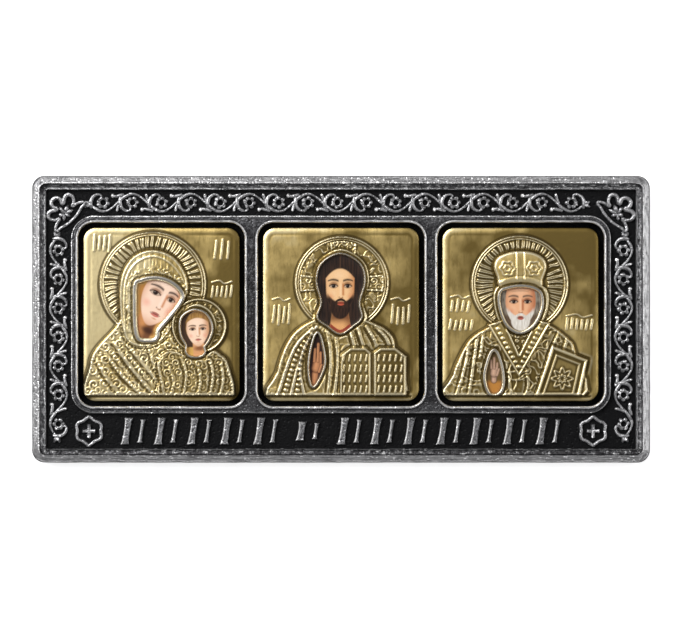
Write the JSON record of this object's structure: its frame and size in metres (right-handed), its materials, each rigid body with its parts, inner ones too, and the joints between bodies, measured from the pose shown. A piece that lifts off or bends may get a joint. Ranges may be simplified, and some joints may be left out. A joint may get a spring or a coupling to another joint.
{
  "type": "car icon triptych",
  "caption": "Flat rounded rectangular relief plaque with a vine border, an inscription band and recessed windows that each hold an embossed icon plate.",
  "frame": {"origin": "middle of the flat back, at the lowest point of the part", "axes": "+X along the plaque to the right as seen from the front, +Y to its top edge, +Z out of its face"},
  "size_m": [0.084, 0.039, 0.0036],
  "materials": {
    "antique_silver": "antique silver on cast metal, black sunk ground",
    "embossed_gold": "embossed gold foil with painted faces and hands"
  },
  "bodies": {
    "root": {"frame": "antique_silver", "mother_icon_plate": "embossed_gold", "teacher_icon_plate": "embossed_gold", "bishop_icon_plate": "embossed_gold"}
  },
  "joints": []
}
